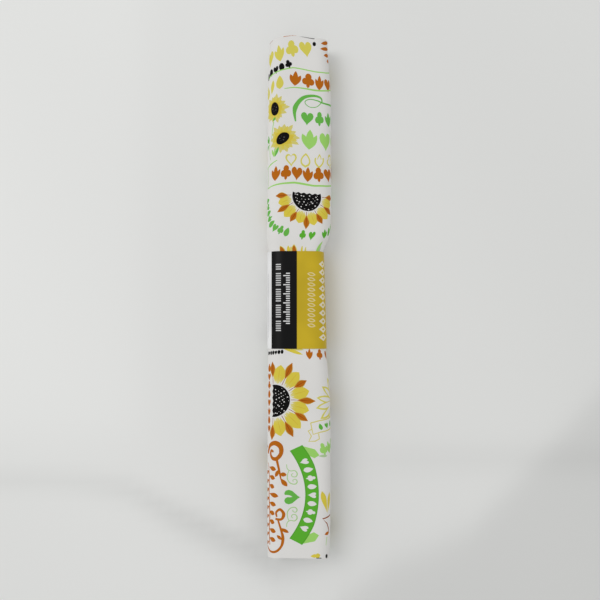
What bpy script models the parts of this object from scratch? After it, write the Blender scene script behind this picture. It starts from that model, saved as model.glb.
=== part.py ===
"""A fat quarter: one cut of printed quilting cotton, folded in half, wound into a flat roll and held by a glued
paper band.

The roll lies on the plane z = 0 and runs along Y. The fold of the cloth is its +Y end and the two cut edges are
its -Y end. +X is to the right of someone who looks down on it with +Y away from them. Lengths are in metres.
"""

import math

import bpy

MM = 0.001

# The cut of cotton. Its 18 inch side is folded in half, and its 21 inch side is wound up.
CUT_FOLDED_SIDE = 457.2 * MM
CUT_WOUND_SIDE = 533.4 * MM
PLY = 0.225 * MM  # one thickness of the cotton
PLIES = 2

# The roll, where nothing squeezes it.
ROLL_WIDTH = 28.3 * MM
ROLL_HEIGHT = 17.0 * MM
FOLD_END_WIDTH = 26.6 * MM  # at the folded end, which the wound fold draws in
FOLD_END_TAPER = 24.0 * MM
FREE_EDGE_INSET = 4.0 * MM  # from the middle of the underside to the cloth's free edge
TAIL_SHORT = 1.0 * MM  # by how much the innermost stretch stops short of the bend
LEAST_TURN_GAP = 0.1 * MM

# The paper band, closed by a flap that is glued down on the underside.
BAND_LENGTH = 43.0 * MM
BAND_OFFSET = -1.3 * MM  # from the roll's middle, along Y
BAND_SQUEEZE = 2.5 * MM  # by how much its middle is narrower than the roll
BAND_FLARE = 1.0 * MM  # how much wider its -Y end is than its +Y end
BAND_DIP = 0.8 * MM  # from the roll's crest down to the band's
BAND_FLOOR_GAP = 0.25 * MM
BAND_PROUD = 0.2 * MM  # how far its left side stands out past the roll's
PAPER = 0.2 * MM
FLAP_OVERLAP = 12.0 * MM
BAND_CLEARANCE = 0.5 * MM  # between the band and the cloth inside it

# The line of glue between the band's two ends.
GLUE = 0.15 * MM
GLUE_CLEARANCE = 0.05 * MM
GLUE_MARGIN = 2.0 * MM

# The neck: the cloth that the band squeezes, and the two tapers that lead to it.
NECK_MARGIN = 0.8 * MM  # past each edge of the band
TAPER_TOP = 16.0 * MM
TAPER_BOTTOM = 24.0 * MM

ARC_STEPS = 12  # on a wide bend of the cloth; a bend under half the widest radius has half of them
BAND_ARC_STEPS = 24

LAYER = PLY * PLIES
ROLL_LENGTH = CUT_FOLDED_SIDE / PLIES
ROLL_CENTRE_X = BAND_PROUD / 2  # keeps the whole object centred on x = 0
FLAP_STEP = PAPER + GLUE + 2 * GLUE_CLEARANCE


def section(left, right, bottom, top):
    """An upright oval with flat top and bottom, by its four outer limits."""
    return {
        "x": (left + right) / 2,
        "z": (bottom + top) / 2,
        "width": right - left,
        "height": top - bottom,
    }


def roll_section(width=ROLL_WIDTH):
    """The cloth's outline where nothing squeezes it."""
    half = width / 2
    return section(ROLL_CENTRE_X - half, ROLL_CENTRE_X + half, 0, ROLL_HEIGHT)


def band_section(y):
    """The outer faces of the band's first turn at y, without the flap that laps under it."""
    left = ROLL_CENTRE_X - ROLL_WIDTH / 2 - BAND_PROUD
    flare = BAND_FLARE * (BAND_OFFSET - y) / BAND_LENGTH
    return section(
        left,
        left + ROLL_WIDTH - BAND_SQUEEZE + flare,
        BAND_FLOOR_GAP + FLAP_STEP,
        ROLL_HEIGHT - BAND_DIP,
    )


def neck_section(y):
    """The cloth's outline inside the band, at y."""
    band = band_section(y)
    inset = PAPER + BAND_CLEARANCE
    half_width = band["width"] / 2 - inset
    half_height = band["height"] / 2 - inset
    return section(
        band["x"] - half_width,
        band["x"] + half_width,
        band["z"] - half_height,
        band["z"] + half_height,
    )


def half_flat(outline):
    """Half of the straight top or bottom of an oval whose ends are half circles."""
    return (outline["width"] - outline["height"]) / 2


def first_radius(outline):
    """The middle of the cloth's outermost layer, on the oval's round ends."""
    return (outline["height"] - LAYER) / 2


def winding():
    """(number of bends, pitch of the layers) that wind the whole cut into the roll's outline.

    Each bend takes half a turn, and its radius is half a pitch under the one before. The pitch follows from the
    length of the cut, and the number of bends is the largest that leaves room to bend the last layer.
    """
    outline = roll_section()
    radius = first_radius(outline)
    half = half_flat(outline)
    least_radius = (LAYER + LEAST_TURN_GAP) / 2
    found = None
    bends = 2
    while True:
        straight = half + FREE_EDGE_INSET + 2 * half * bends - TAIL_SHORT
        spare = straight + math.pi * bends * radius - CUT_WOUND_SIDE
        pitch = spare / (math.pi * bends * (bends - 1) / 4 - bends / 2)
        if radius - (bends - 1) * pitch / 2 < least_radius:
            return found
        if pitch > 0:
            found = (bends, pitch)
        bends += 1


def last_radius():
    """The radius of the roll's innermost bend."""
    bends, pitch = winding()
    return first_radius(roll_section()) - (bends - 1) * pitch / 2


def wound_line(outline, radius, pitch, steps, start_x, tail_short):
    """The middle line of a strip that winds round the oval, as (x, z, outward x, outward z).

    It starts on the underside at start_x and runs right. Its last straight stops short of the bend that would
    follow. Right-hand bends share one centre. Left-hand bends share another, which is half a pitch higher, to
    keep every straight level, and half a pitch further out, so that the first of them reaches the outline.
    """
    right_x = outline["x"] + half_flat(outline)
    left_x = outline["x"] - half_flat(outline) - pitch / 2
    line = [(start_x, outline["z"] - radius, 0, -1)]
    for bend, count in enumerate(steps):
        leftward = bend % 2
        centre_x = left_x if leftward else right_x
        centre_z = outline["z"] + (pitch / 2 if leftward else 0)
        bend_radius = radius - bend * pitch / 2
        for step in range(count + 1):
            angle = math.pi * (step / count - 0.5 + leftward)
            across, up = math.cos(angle), math.sin(angle)
            line.append(
                (centre_x + bend_radius * across, centre_z + bend_radius * up, across, up)
            )
    x, z, across, up = line[-1]
    end_x = left_x + tail_short if len(steps) % 2 else right_x - tail_short
    line.append((end_x, z, across, up))
    return line


def strip_ring(line, y, thickness):
    """The corners round a strip's edge at y: its outer side, then its inner side backwards."""
    half = thickness / 2
    outer = [(x + across * half, y, z + up * half) for x, z, across, up in line]
    inner = [(x - across * half, y, z - up * half) for x, z, across, up in line]
    return outer + inner[::-1]


def loft(name, rings):
    """A closed mesh object through rings of equal count, each of which goes round a thin strip's edge."""
    count = len(rings[0])
    faces = []
    for ring in range(len(rings) - 1):
        for corner in range(count):
            following = (corner + 1) % count
            here, there = ring * count, (ring + 1) * count
            faces.append(
                (here + corner, there + corner, there + following, here + following)
            )
    for first, turned in ((0, False), ((len(rings) - 1) * count, True)):
        for corner in range(count // 2 - 1):
            far = count - 1 - corner
            face = (first + corner, first + corner + 1, first + far - 1, first + far)
            faces.append(face[::-1] if turned else face)
    mesh = bpy.data.meshes.new(name)
    mesh.from_pydata([point for ring in rings for point in ring], [], faces)
    mesh.validate()
    mesh.shade_smooth()
    mesh.set_sharp_from_angle(angle=math.radians(40))
    made = bpy.data.objects.new(name, mesh)
    bpy.context.collection.objects.link(made)
    return made


def material(name, colour, roughness):
    """A plain finish, with the colour in linear values."""
    made = bpy.data.materials.new(name)
    made.use_nodes = True
    shader = made.node_tree.nodes["Principled BSDF"]
    shader.inputs["Base Color"].default_value = (*colour, 1)
    shader.inputs["Roughness"].default_value = roughness
    shader.inputs["Metallic"].default_value = 0
    return made


def cloth_ring(outline, y, steps):
    """The wound cloth's cut edge at y, inside the outline."""
    radius = first_radius(outline)
    pitch = 2 * (radius - last_radius()) / (len(steps) - 1)
    start_x = outline["x"] - FREE_EDGE_INSET
    line = wound_line(outline, radius, pitch, steps, start_x, TAIL_SHORT)
    return strip_ring(line, y, LAYER)


def make_cotton_cloth():
    """The folded cotton, as one wound strip two plies thick, drawn in where the band squeezes it."""
    bends, pitch = winding()
    widest = first_radius(roll_section())
    steps = [
        ARC_STEPS if bend * pitch < widest else ARC_STEPS // 2 for bend in range(bends)
    ]
    neck_low = BAND_OFFSET - BAND_LENGTH / 2 - NECK_MARGIN
    neck_high = BAND_OFFSET + BAND_LENGTH / 2 + NECK_MARGIN
    stations = [
        (-ROLL_LENGTH / 2, roll_section()),
        (neck_low - TAPER_BOTTOM, roll_section()),
        (neck_low, neck_section(neck_low)),
        (neck_high, neck_section(neck_high)),
        (neck_high + TAPER_TOP, roll_section()),
        (ROLL_LENGTH / 2 - FOLD_END_TAPER, roll_section()),
        (ROLL_LENGTH / 2, roll_section(FOLD_END_WIDTH)),
    ]
    rings = [cloth_ring(outline, y, steps) for y, outline in stations]
    cloth = loft("cotton_cloth", rings)
    cloth.data.materials.append(material("printed_cotton", (0.72, 0.71, 0.69), 0.9))


def flap_limits():
    """(left, right) of the underside where the band's two ends lap."""
    middle = band_section(BAND_OFFSET)["x"]
    return middle - FLAP_OVERLAP / 2, middle + FLAP_OVERLAP / 2


def band_ring(y):
    """The edge of the paper strip at y: one turn, and a flap that laps under its own start."""
    outline = band_section(y)
    start_x, end_x = flap_limits()
    line = wound_line(
        outline,
        (outline["height"] - PAPER) / 2,
        -FLAP_STEP,
        [BAND_ARC_STEPS, BAND_ARC_STEPS],
        start_x,
        outline["x"] + half_flat(outline) - end_x,
    )
    return strip_ring(line, y, PAPER)


def make_paper_band():
    """The printed paper strip round the neck."""
    ends = (BAND_OFFSET - BAND_LENGTH / 2, BAND_OFFSET + BAND_LENGTH / 2)
    band = loft("paper_band", [band_ring(y) for y in ends])
    band.data.materials.append(material("coated_paper", (0.52, 0.36, 0.04), 0.4))


def make_band_glue():
    """The flat line of glue that holds the flap to the band's start."""
    left, right = flap_limits()
    low = BAND_FLOOR_GAP + PAPER + GLUE_CLEARANCE
    size = (
        right - left - 2 * GLUE_MARGIN,
        BAND_LENGTH - 2 * GLUE_MARGIN,
        GLUE,
    )
    bpy.ops.mesh.primitive_cube_add(
        size=1, location=((left + right) / 2, BAND_OFFSET, low + GLUE / 2), scale=size
    )
    glue = bpy.context.object
    bpy.ops.object.transform_apply(location=False, rotation=False, scale=True)
    glue.name = glue.data.name = "band_glue"
    glue.data.materials.append(material("hot_melt_glue", (0.80, 0.74, 0.56), 0.35))


def main():
    for old in list(bpy.data.objects):
        bpy.data.objects.remove(old)
    make_cotton_cloth()
    make_paper_band()
    make_band_glue()


main()
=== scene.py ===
"""A fat quarter: printed quilting cotton, folded in half and wound into a flat roll, in its printed paper band.

Flat patterns are laid out in millimetres and turned to metres where a mesh is made. On the cloth, a millimetre
pair is (across, along): across is 0 at the crest of the roll and grows towards +X, along is the roll's own Y.
"""

import math
import random

import bpy
import numpy as np
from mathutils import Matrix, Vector
from mathutils.geometry import delaunay_2d_cdt


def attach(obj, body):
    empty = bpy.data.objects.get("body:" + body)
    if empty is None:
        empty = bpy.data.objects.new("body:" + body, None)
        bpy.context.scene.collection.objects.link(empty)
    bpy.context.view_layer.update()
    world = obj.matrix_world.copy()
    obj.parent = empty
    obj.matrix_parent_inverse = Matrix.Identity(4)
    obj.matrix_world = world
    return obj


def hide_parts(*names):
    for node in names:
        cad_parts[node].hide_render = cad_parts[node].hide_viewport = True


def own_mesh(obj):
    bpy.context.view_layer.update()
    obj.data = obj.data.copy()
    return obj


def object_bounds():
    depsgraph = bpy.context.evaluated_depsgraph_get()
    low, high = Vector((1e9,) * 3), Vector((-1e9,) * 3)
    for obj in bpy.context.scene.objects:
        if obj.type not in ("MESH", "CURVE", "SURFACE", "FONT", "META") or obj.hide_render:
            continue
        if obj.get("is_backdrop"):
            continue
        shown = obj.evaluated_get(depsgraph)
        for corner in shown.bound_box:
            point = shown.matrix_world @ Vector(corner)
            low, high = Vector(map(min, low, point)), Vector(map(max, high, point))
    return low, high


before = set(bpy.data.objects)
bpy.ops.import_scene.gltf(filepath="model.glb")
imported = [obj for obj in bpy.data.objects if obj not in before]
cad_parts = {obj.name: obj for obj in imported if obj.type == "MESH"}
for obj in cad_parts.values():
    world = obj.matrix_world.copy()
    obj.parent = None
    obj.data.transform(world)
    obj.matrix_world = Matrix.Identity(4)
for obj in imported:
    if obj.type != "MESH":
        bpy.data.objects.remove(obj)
cad_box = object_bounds()

MM = 0.001

# The cut of cotton, 21 by 18 inches: the first side is wound up and the second is folded in half.
WOUND_SIDE = 533.4
FOLDED_SIDE = 457.2
ROLL_LENGTH = FOLDED_SIDE / 2
ROLL_WIDTH, ROLL_HEIGHT = 28.3, 17.0
PLY = 0.21
LAYER = 0.45
PLY_OFFSET = 0.12  # from the middle of the folded pair to the middle of one ply
FOLD_RADIUS = 0.22  # of the soft bend where the two plies meet
BENDS = 20
LAST_RADIUS = 0.99
FREE_EDGE_INSET = 4.0
TAIL_SHORT = 1.0
FINE_TURN = 86.0  # how much of the wound side lies on the outside of the roll
SHINE_THROUGH = 0.22  # how much of the print shows on the cloth's back

# The roll's outer limits: (along, left, right, bottom, top). It swells beside the band, and its ends are thin
# enough for the band to slide over them.
ROLL_STATIONS = (
    (-114.3, -14.2, 13.5, 1.15, 15.55),
    (-107, -14.2, 13.9, 1.15, 15.6),
    (-90, -14.2, 14.2, 1.15, 15.6),
    (-69.2, -14.2, 14.2, 1.15, 15.6),
    (-58, -14.2, 14.2, 0.1, 17.0),
    (-45, -14.15, 13.9, 0, 17.1),
    (-36.5, -14.1, 13.4, 0.1, 17.0),
    (-29, -14.05, 12.8, 0.5, 16.6),
    (-24.8, -13.75, 12.0, 1.05, 15.85),
    (22.8, -13.7, 10.7, 1.05, 15.8),
    (26.1, -14.55, 12.5, 0.3, 16.8),
    (30.5, -14.5, 14.1, 0.1, 17.0),
    (38, -14.3, 14.3, 0, 17.1),
    (58, -14.1, 14.4, 0.1, 17.0),
    (69.2, -14.05, 14.4, 1.15, 15.6),
    (90, -14.0, 14.4, 1.15, 15.6),
    (99, -13.8, 13.7, 1.15, 15.6),
    (108, -13.4, 13.0, 1.15, 15.6),
    (114.3, -13.1, 12.7, 1.15, 15.55),
)

# The paper band, as its solid is.
BAND_LOW, BAND_HIGH = -22.8, 20.2
BAND_LEFT = -14.25
BAND_WIDTH, BAND_FLARE = 26.1, 1.3
BAND_BOTTOM, BAND_TOP = 0.7, 16.2
PAPER = 0.2
FLAP_STEP = 0.45
FLAP = (-7.35, 4.65)  # between which x its two ends lap


def hex_linear(code, alpha=1.0):
    """The linear colour of an sRGB hex code."""
    srgb = [int(code[i : i + 2], 16) / 255 for i in (1, 3, 5)]
    linear = [c / 12.92 if c <= 0.04045 else ((c + 0.055) / 1.055) ** 2.4 for c in srgb]
    return (*linear, alpha)


# Printed colours, on the cloth and on the band.
COTTON = hex_linear("#ECEAE7")
YELLOW = hex_linear("#E3D04B")
LEMON = hex_linear("#DFD45E")
PALE_YELLOW = hex_linear("#DDD27A")
STRAW = hex_linear("#DED568")
RUST = hex_linear("#BF6A11")
DEEP_RUST = hex_linear("#9A4C0C")
GREEN = hex_linear("#5FB632")
MID_GREEN = hex_linear("#6CBC4E")
LIGHT_GREEN = hex_linear("#A4DC70")
MIST_GREEN = hex_linear("#B7D3A2")
INK_BLACK = hex_linear("#0B0909")
PAPER_WHITE = hex_linear("#EEEEEE")
PANEL_BLACK = hex_linear("#060607")
PANEL_GOLD = hex_linear("#CCAF26")
PALE_GOLD = hex_linear("#E3D19A")
RULE_GREY = hex_linear("#9A9A9C")


def mixed(first, second, share):
    """A colour between two others."""
    return tuple(a + (b - a) * share for a, b in zip(first, second))


# ----------------------------------------------------------------------------------------------------
# Flat motifs. Each one is a polygon with an ink, which is a colour or a function from place to colour.


def turned(points, centre, angle):
    """Points moved from the origin to a centre, after a turn in degrees."""
    c, s = math.cos(math.radians(angle)), math.sin(math.radians(angle))
    return [(centre[0] + x * c - y * s, centre[1] + x * s + y * c) for x, y in points]


def oval(centre, radii, ink, angle=0, count=24, ragged=0.0):
    """A filled oval. A ragged one has an uneven edge."""
    points = []
    for i in range(count):
        turn = math.tau * i / count
        reach = 1 + ragged * math.sin(5 * turn + centre[0]) * math.cos(3 * turn)
        points.append((radii[0] * reach * math.cos(turn), radii[1] * reach * math.sin(turn)))
    return [(turned(points, centre, angle), ink)]


def petal(base, tip, width, ink, belly=0.55, steps=7, sharp=0.8):
    """A pointed leaf from base to tip, widest at belly's share of its length. Sharp hollows its shoulders."""
    dx, dy = tip[0] - base[0], tip[1] - base[1]
    length = math.hypot(dx, dy)
    power = math.log(0.5) / math.log(belly)
    sides = []
    for i in range(1, steps):
        share = i / steps
        half = width / 2 * math.sin(math.pi * share**power) ** sharp
        sides.append((share, half))
    points = [base]
    for side in (1, -1):
        for share, half in sides if side == 1 else reversed(sides):
            points.append(
                (
                    base[0] + dx * share - side * dy / length * half,
                    base[1] + dy * share + side * dx / length * half
                )
            )
        if side == 1:
            points.append(tip)
    return [(points, ink)]


def curve(points, each=6):
    """A smooth line through points."""
    padded = [points[0], *points, points[-1]]
    line = []
    for a, b, c, d in zip(padded, padded[1:], padded[2:], padded[3:]):
        for i in range(each):
            t = i / each
            line.append(
                tuple(
                    0.5
                    * (2 * q + (r - p) * t + (
                        2 * p - 5 * q + 4 * r - s
                    ) * t * t + (3 * q - p - 3 * r + s) * t**3)
                    for p, q, r, s in zip(a, b, c, d)
                )
            )
    return line + [points[-1]]


def stroke(points, widths, ink, each=6):
    """A pen line through points. Its width runs through the given widths."""
    line = curve(points, each) if each > 1 else points
    count = len(line)
    widths = widths if isinstance(widths, tuple) else (widths, widths)
    shares = np.linspace(0, 1, len(widths))
    edges = []
    for i, (x, y) in enumerate(line):
        before, after = line[max(i - 1, 0)], line[min(i + 1, count - 1)]
        dx, dy = after[0] - before[0], after[1] - before[1]
        length = math.hypot(dx, dy) or 1
        half = np.interp(i / (count - 1), shares, widths) / 2
        edges.append(
            ((x - dy / length * half, y + dx / length * half), (x + dy / length * half, y - dx / length * half))
        )
    return [([near[0], near[1], far[1], far[0]], ink) for near, far in zip(edges, edges[1:])]


def heart(centre, size, ink, angle=0):
    """A heart, its point down before it is turned."""
    points = []
    for i in range(20):
        t = math.tau * i / 20
        x = 16 * math.sin(t) ** 3
        y = 13 * math.cos(t) - 5 * math.cos(2 * t) - 2 * math.cos(3 * t) - math.cos(4 * t)
        points.append((x * size / 32, y * size / 32))
    return [(turned(points, centre, angle), ink)]


def placed(mark):
    """A mark that is drawn upright round the origin, made to go to its place and angle."""

    def drawn(centre, height, ink, angle=0):
        return [(turned(points, centre, angle), fill) for points, fill in mark(height, ink)]

    return drawn


@placed
def sprig(h, ink):
    """A thick bud between two leaves."""
    shapes = petal((0, -h / 2), (0, h / 2), h * 0.3, ink)
    for side in (-1, 1):
        shapes += petal((0, -h / 2), (side * h * 0.3, h * 0.26), h * 0.26, ink)
    return shapes


@placed
def clover(h, ink):
    """Three round leaves on a short stem."""
    shapes = []
    for across, up in ((0, 0.26), (-0.16, -0.06), (0.16, -0.06)):
        shapes += oval((across * h, up * h), (h * 0.18, h * 0.23), ink, count=14)
    return shapes + petal((0, -h / 2), (0, h * 0.1), h * 0.2, ink, belly=0.4)


@placed
def bud(h, ink):
    """One thick drop."""
    return petal((0, -h / 2), (0, h / 2), h * 0.62, ink, belly=0.4)


@placed
def tick(h, ink):
    """One slanted leaf."""
    return petal((-h * 0.12, -h / 2), (h * 0.12, h / 2), h * 0.36, ink)


@placed
def berry(h, ink):
    """One round fruit."""
    return oval((0, 0), (h * 0.34, h * 0.44), ink, count=14)


@placed
def narrow_heart(h, ink):
    """A heart as tall as the other marks, and about as wide."""
    return [([(x * 0.7, y) for x, y in points], fill) for points, fill in heart((0, 0), h, ink)]


MARKS = {"heart": narrow_heart, "sprig": sprig, "clover": clover, "bud": bud, "tick": tick, "berry": berry}


def garland(points, marks, height, ink, lean=0, hollow=False):
    """Named marks spread evenly along a smooth line, each upright on it. A hollow one is only an outline."""
    line = curve(points, 12)
    run = [0.0]
    for a, b in zip(line, line[1:]):
        run.append(run[-1] + math.dist(a, b))
    shapes = []
    names = marks.split()
    for i, name in enumerate(names):
        at = run[-1] * (i + 0.5) / len(names)
        k = min(max(int(np.searchsorted(run, at)), 1), len(line) - 1)
        (ax, ay), (bx, by) = line[k - 1], line[k]
        share = (at - run[k - 1]) / (run[k] - run[k - 1])
        centre = (ax + (bx - ax) * share, ay + (by - ay) * share)
        angle = math.degrees(math.atan2(by - ay, bx - ax)) + lean
        shapes += MARKS[name](centre, height, ink, angle)
        if hollow:
            shapes += MARKS[name](centre, height * 0.7, COTTON, angle)
    return shapes


def fading(centre, inner, outer, near, far):
    """An ink that runs from one colour to another with the distance from a centre."""

    def ink(x, y):
        share = (math.hypot(x - centre[0], y - centre[1]) - inner) / (outer - inner)
        return mixed(near, far, min(max(share, 0), 1))

    return ink


def seeds(centre, radius, ink, keep, spacing=1.25):
    """Small dots over a disc, in rings, where keep allows."""
    shapes = []
    for ring in range(1, int(radius / spacing)):
        count = 5 * ring
        for i in range(count):
            turn = math.tau * (i + 0.37 * ring) / count
            reach = ring * spacing * (1 + 0.09 * math.sin(7 * i + ring))
            place = (centre[0] + reach * math.cos(turn), centre[1] + reach * math.sin(turn))
            if keep(place):
                size = 0.24 + 0.09 * math.sin(3 * i + ring)
                shapes += oval(place, (size, size * 0.8), ink, count=6)
    return shapes


def half_sunflower(centre, facing, disc, reach, back):
    """Part of a sunflower: a black disc with pale seeds, cut off behind its centre, and petals in front."""
    shapes = []
    broad = fading(centre, disc * 0.98, disc * 1.36, mixed(COTTON, PALE_YELLOW, 0.5), YELLOW)

    def at(away, degrees):
        turn = math.radians(facing + degrees)
        return (centre[0] + away * math.cos(turn), centre[1] + away * math.sin(turn))

    for i in range(-3, 3):
        middle = 31 * i + 15.5
        far = reach * (0.9 + 0.03 * math.sin(2.3 * i))
        for spread in (-9.5, 9.0):
            tip = at(far * 0.86, middle + spread * 0.95)
            shapes += petal(at(disc * 1.05, middle + spread * 0.9), tip, disc * 0.26, broad, 0.6, sharp=1.0)
        shapes += petal(at(disc * 1.04, middle), at(far, middle), disc * 0.74, broad, 0.58, steps=9, sharp=0.9)
        for spread in (-4, 3):
            shapes += stroke(
                [at(disc * 1.1, middle + spread), at(disc * 1.6, middle + spread)], (0.3, 0.1), STRAW, each=2
            )
        crease = mixed(YELLOW, RUST, 0.3)
        shapes += stroke([at(disc * 1.3, middle), at(far * 0.9, middle + 1)], (0.1, 0.25, 0.1), crease, each=2)
    for i in range(-3, 4):
        middle = 31 * i
        tip = at(reach * (0.98 + 0.03 * math.cos(3 * i)), middle)
        shapes += stroke([at(disc * 1.06, middle), at(reach * 0.62, middle)], 0.25, DEEP_RUST, each=2)
        shapes += petal(at(reach * 0.54, middle), tip, disc * 0.46, mixed(RUST, STRAW, 0.6), 0.56, sharp=1.3)
        shapes += petal(at(reach * 0.55, middle), tip, disc * 0.36, RUST, 0.56, sharp=1.3)
        shapes += stroke([at(reach * 0.66, middle), at(reach * 0.92, middle)], (0.35, 0.1), DEEP_RUST, each=2)

    side = math.radians(facing)

    def in_front(place):
        ahead = (place[0] - centre[0]) * math.cos(side) + (place[1] - centre[1]) * math.sin(side)
        away = math.hypot(place[0] - centre[0], place[1] - centre[1])
        return ahead > 0.7 - back * disc and away < disc * 0.93

    over = math.degrees(math.acos(-back))
    rim = [at(disc, over * (i / 14 - 1)) for i in range(29)]
    for i in range(1, 10):
        share = 1 - i / 5
        ahead = -back * disc + (0.55 if i % 2 else 0)
        across = share * disc * math.sqrt(1 - back * back)
        rim.append(
            (
                centre[0] + ahead * math.cos(side) - across * math.sin(side),
                centre[1] + ahead * math.sin(side) + across * math.cos(side),
            )
        )
    shapes.append((rim, INK_BLACK))
    return shapes + seeds(centre, disc * 1.1, COTTON, in_front)


def small_sunflower(centre, reach, disc, angle):
    """A small sunflower: a black oval and two rings of thin, pale petals."""
    shapes = []
    for layer, (ink, width) in enumerate(((PALE_YELLOW, 1.9), (YELLOW, 1.5))):
        for i in range(14):
            turn = math.tau * (i + 0.5 * layer) / 14 + 0.05 * math.sin(7 * i)
            far = reach * (1 - 0.17 * layer) * (1 + 0.09 * math.sin(4 * i + centre[1]))
            base = (centre[0] + disc * 0.7 * math.cos(turn), centre[1] + disc * 0.7 * math.sin(turn))
            tip = (centre[0] + far * math.cos(turn), centre[1] + far * math.sin(turn))
            fade = fading(centre, disc, reach, ink, mixed(ink, PALE_YELLOW, 0.6))
            shapes += petal(base, tip, width, fade, belly=0.5, steps=5)
    shapes += oval(centre, (disc * 1.25, disc * 1.35), mixed(YELLOW, RUST, 0.12), angle=angle, ragged=0.3)
    shapes += oval(centre, (disc * 0.84, disc * 1.16), INK_BLACK, angle=angle)
    dots = seeds(centre, disc * 1.1, mixed(INK_BLACK, COTTON, 0.12), lambda place: True, 1.0)
    return shapes + dots


def forked_tendril(foot, way, ink):
    """A thin stem that forks into two curls. It grows along the roll, one way or the other."""
    upper = [
        (0, 0), (0.2, 1.9), (1.4, 2.9), (2.8, 2.7), (3.7, 3.9), (3.3, 5.3), (2.1, 5.4), (1.7, 4.5), (2.3, 3.9)
    ]
    lower = [
        (0.8, 2.7), (0.3, 4.5), (0.3, 6.6), (1.4, 8.3), (3.0, 8.6), (3.7, 7.5), (3.1, 6.5), (2.2, 6.9),
        (2.3, 7.6)
    ]
    shapes = []
    for line in (upper, lower):
        shapes += stroke([(foot[0] + x, foot[1] + way * y) for x, y in line], (0.25, 0.45, 0.25), ink, each=4)
    return shapes


def ribbon_banner(centre, radius, half_angle, width, ink, tail_ink, facing=0):
    """A bowed ribbon with a folded tail behind each end and a row of pale marks on it."""

    def at(reach, degrees):
        turn = math.radians(facing + degrees)
        return (centre[0] + reach * math.cos(turn), centre[1] + reach * math.sin(turn))

    shapes = []
    for side in (-1, 1):
        end = half_angle * side
        shapes.append(
            (
                [
                    at(radius + width * 0.5, end * 0.97),
                    at(radius + width * 1.1, end * 0.84),
                    at(radius + width * 1.23, end * 0.71),
                    at(radius + width * 0.7, end * 0.7),
                    at(radius + width * 0.5, end * 0.76),
                ],
                tail_ink,
            )
        )
    arc = [at(radius, half_angle * (i / 12 - 1)) for i in range(25)]
    shapes += stroke(arc, width, ink, each=1)
    edge = mixed(ink, INK_BLACK, 0.25)
    for reach in (radius - width * 0.46, radius + width * 0.46):
        line = [at(reach, half_angle * (i / 12 - 1)) for i in range(25)]
        shapes += stroke(line, 0.25, edge, each=1)
    line = [at(radius, half_angle * 0.78 * (1 - i / 6)) for i in range(13)]
    return shapes + garland(line, "heart bud clover bud heart bud clover bud heart", width * 0.66, COTTON)


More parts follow.
